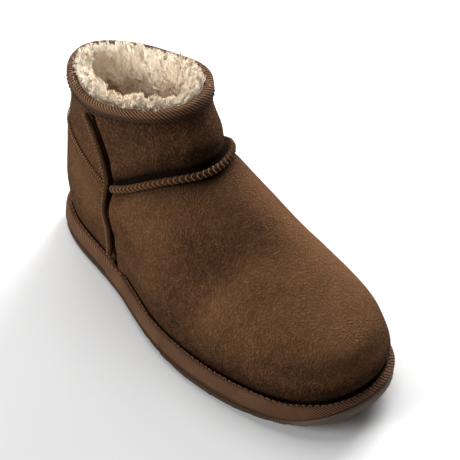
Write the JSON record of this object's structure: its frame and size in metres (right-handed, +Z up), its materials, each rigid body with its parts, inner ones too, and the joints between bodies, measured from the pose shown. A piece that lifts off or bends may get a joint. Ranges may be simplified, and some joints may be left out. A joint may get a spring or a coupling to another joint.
{
  "type": "sheepskin ankle boot",
  "caption": "Right-foot ultra-short sheepskin boot: fleece-lined suede upper with raised seams and a bound collar, on a taped platform with a lugged rubber outsole.",
  "frame": {"origin": "middle of the heel's flat contact spot, on the floor", "axes": "+Z up, the toe points to -Y, the lateral side of this right boot is -X and its medial side +X"},
  "size_m": [0.1079, 0.2635, 0.1455],
  "materials": {
    "outsole_rubber": "matt dark brown, lighter at the toe bumper",
    "midsole_foam": "plain foam, hidden",
    "foxing_twill": "fine brown twill",
    "suede": "napped suede",
    "seam_edge": "cut suede edge under overlock thread",
    "binding_twill": "ribbed reddish brown tape",
    "fleece": "curly cream wool"
  },
  "bodies": {
    "root": {"outsole": "outsole_rubber", "midsole": "midsole_foam", "foxing_band": "foxing_twill", "upper": "suede", "insole": "fleece", "instep_seam": "seam_edge", "counter_seam": "seam_edge", "side_seam_lateral": "seam_edge", "side_seam_medial": "seam_edge", "collar_binding": "binding_twill", "fleece_lining": "fleece"}
  },
  "joints": []
}
